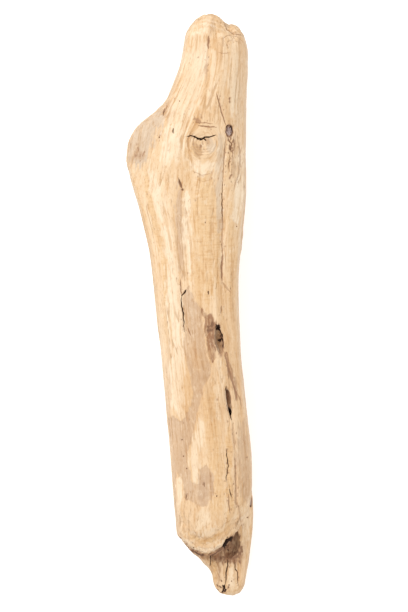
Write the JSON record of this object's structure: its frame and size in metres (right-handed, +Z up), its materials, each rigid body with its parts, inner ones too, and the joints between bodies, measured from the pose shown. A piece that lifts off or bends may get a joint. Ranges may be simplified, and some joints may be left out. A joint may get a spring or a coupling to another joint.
{
  "type": "piece of driftwood",
  "caption": "Sea-worn length of branch with a rounded crown, a burl on one side, knots, checks along the grain and a splintered, hollowed end.",
  "frame": {"origin": "middle of the footprint, on the surface that the driftwood rests on", "axes": "+Y along the grain, from the splintered end to the crown; +X across the grain, away from the burl; +Z up, towards the face that shows"},
  "size_m": [0.0756, 0.35, 0.0503],
  "materials": {
    "weathered_wood": "matte, sea-worn bare wood"
  },
  "bodies": {
    "root": {"driftwood": "weathered_wood"}
  },
  "joints": []
}
